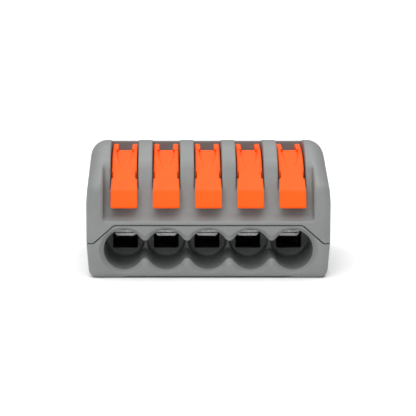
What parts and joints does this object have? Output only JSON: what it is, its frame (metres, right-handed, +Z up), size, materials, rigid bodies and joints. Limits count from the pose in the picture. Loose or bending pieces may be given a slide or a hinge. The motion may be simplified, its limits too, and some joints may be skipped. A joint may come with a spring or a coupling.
{
  "type": "lever wire connector",
  "caption": "Grey plastic block with a row of round wire entries and an orange lever over each; lifting a lever opens a spring cage clamp under a shared busbar.",
  "frame": {"origin": "centre of the footprint, on the surface that the connector stands on", "axes": "+X along the row of poles, -Y out of the wire entries, +Z up"},
  "size_m": [0.0278, 0.0206, 0.0145],
  "materials": {
    "housing": "satin",
    "lever": "satin",
    "busbar": "tin plated",
    "spring": "satin"
  },
  "bodies": {
    "root": {"upper_housing": "housing", "wire_entry_base": "housing", "busbar": "busbar", "spring_loop_1": "spring", "spring_loop_2": "spring", "spring_loop_3": "spring", "spring_loop_4": "spring", "spring_loop_5": "spring"},
    "lever_1": {"lever_1": "lever"},
    "clamp_1": {"clamp_leg_1": "spring"},
    "lever_2": {"lever_2": "lever"},
    "clamp_2": {"clamp_leg_2": "spring"},
    "lever_3": {"lever_3": "lever"},
    "clamp_3": {"clamp_leg_3": "spring"},
    "lever_4": {"lever_4": "lever"},
    "clamp_4": {"clamp_leg_4": "spring"},
    "lever_5": {"lever_5": "lever"},
    "clamp_5": {"clamp_leg_5": "spring"}
  },
  "joints": [
    {"name": "lever_1_hinge", "type": "hinge", "parent": "root", "child": "lever_1", "pos_m": [-0.0096, 0.00195, 0.0119], "axis": [-1, 0, 0], "range_deg": [0, 90]},
    {"name": "clamp_1_bend", "type": "hinge", "parent": "root", "child": "clamp_1", "pos_m": [-0.0096, 0.00615, 0.0082], "axis": [1, 0, 0], "range_deg": [0, 18]},
    {"name": "lever_2_hinge", "type": "hinge", "parent": "root", "child": "lever_2", "pos_m": [-0.0048, 0.00195, 0.0119], "axis": [-1, 0, 0], "range_deg": [0, 90]},
    {"name": "clamp_2_bend", "type": "hinge", "parent": "root", "child": "clamp_2", "pos_m": [-0.0048, 0.00615, 0.0082], "axis": [1, 0, 0], "range_deg": [0, 18]},
    {"name": "lever_3_hinge", "type": "hinge", "parent": "root", "child": "lever_3", "pos_m": [0, 0.00195, 0.0119], "axis": [-1, 0, 0], "range_deg": [0, 90]},
    {"name": "clamp_3_bend", "type": "hinge", "parent": "root", "child": "clamp_3", "pos_m": [0, 0.00615, 0.0082], "axis": [1, 0, 0], "range_deg": [0, 18]},
    {"name": "lever_4_hinge", "type": "hinge", "parent": "root", "child": "lever_4", "pos_m": [0.0048, 0.00195, 0.0119], "axis": [-1, 0, 0], "range_deg": [0, 90]},
    {"name": "clamp_4_bend", "type": "hinge", "parent": "root", "child": "clamp_4", "pos_m": [0.0048, 0.00615, 0.0082], "axis": [1, 0, 0], "range_deg": [0, 18]},
    {"name": "lever_5_hinge", "type": "hinge", "parent": "root", "child": "lever_5", "pos_m": [0.0096, 0.00195, 0.0119], "axis": [-1, 0, 0], "range_deg": [0, 90]},
    {"name": "clamp_5_bend", "type": "hinge", "parent": "root", "child": "clamp_5", "pos_m": [0.0096, 0.00615, 0.0082], "axis": [1, 0, 0], "range_deg": [0, 18]}
  ],
  "couplings": [
    {"joint": "clamp_1_bend", "follows": "lever_1_hinge", "ratio": 0.2},
    {"joint": "clamp_2_bend", "follows": "lever_2_hinge", "ratio": 0.2},
    {"joint": "clamp_3_bend", "follows": "lever_3_hinge", "ratio": 0.2},
    {"joint": "clamp_4_bend", "follows": "lever_4_hinge", "ratio": 0.2},
    {"joint": "clamp_5_bend", "follows": "lever_5_hinge", "ratio": 0.2}
  ]
}
